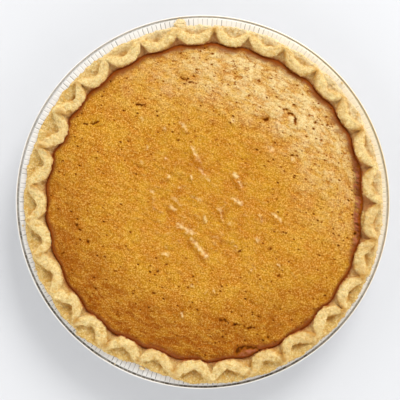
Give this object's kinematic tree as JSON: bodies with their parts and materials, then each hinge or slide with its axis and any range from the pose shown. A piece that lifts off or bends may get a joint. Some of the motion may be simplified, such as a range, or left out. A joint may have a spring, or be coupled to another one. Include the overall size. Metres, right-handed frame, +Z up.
{
  "type": "sweet potato pie in a foil pan",
  "caption": "Whole baked sweet potato pie with a domed orange filling and a hand-fluted pastry rim, in its own ribbed round foil pan.",
  "frame": {"origin": "middle of the pan's flat underside, which is also the bottom centre of the box round the whole", "axes": "+Z up through the middle of the round pie; +X and +Y lie in the table's plane, and the dent in the rim lies at about 250 degrees from +X towards +Y"},
  "size_m": [0.244, 0.244, 0.0418],
  "materials": {
    "foil": "bright thin aluminium foil, pressed with fine radial ribs and a rolled bead",
    "pastry": null,
    "filling": null
  },
  "bodies": {
    "root": {"foil_pan": "foil", "crust": "pastry", "filling": "filling"}
  },
  "joints": []
}
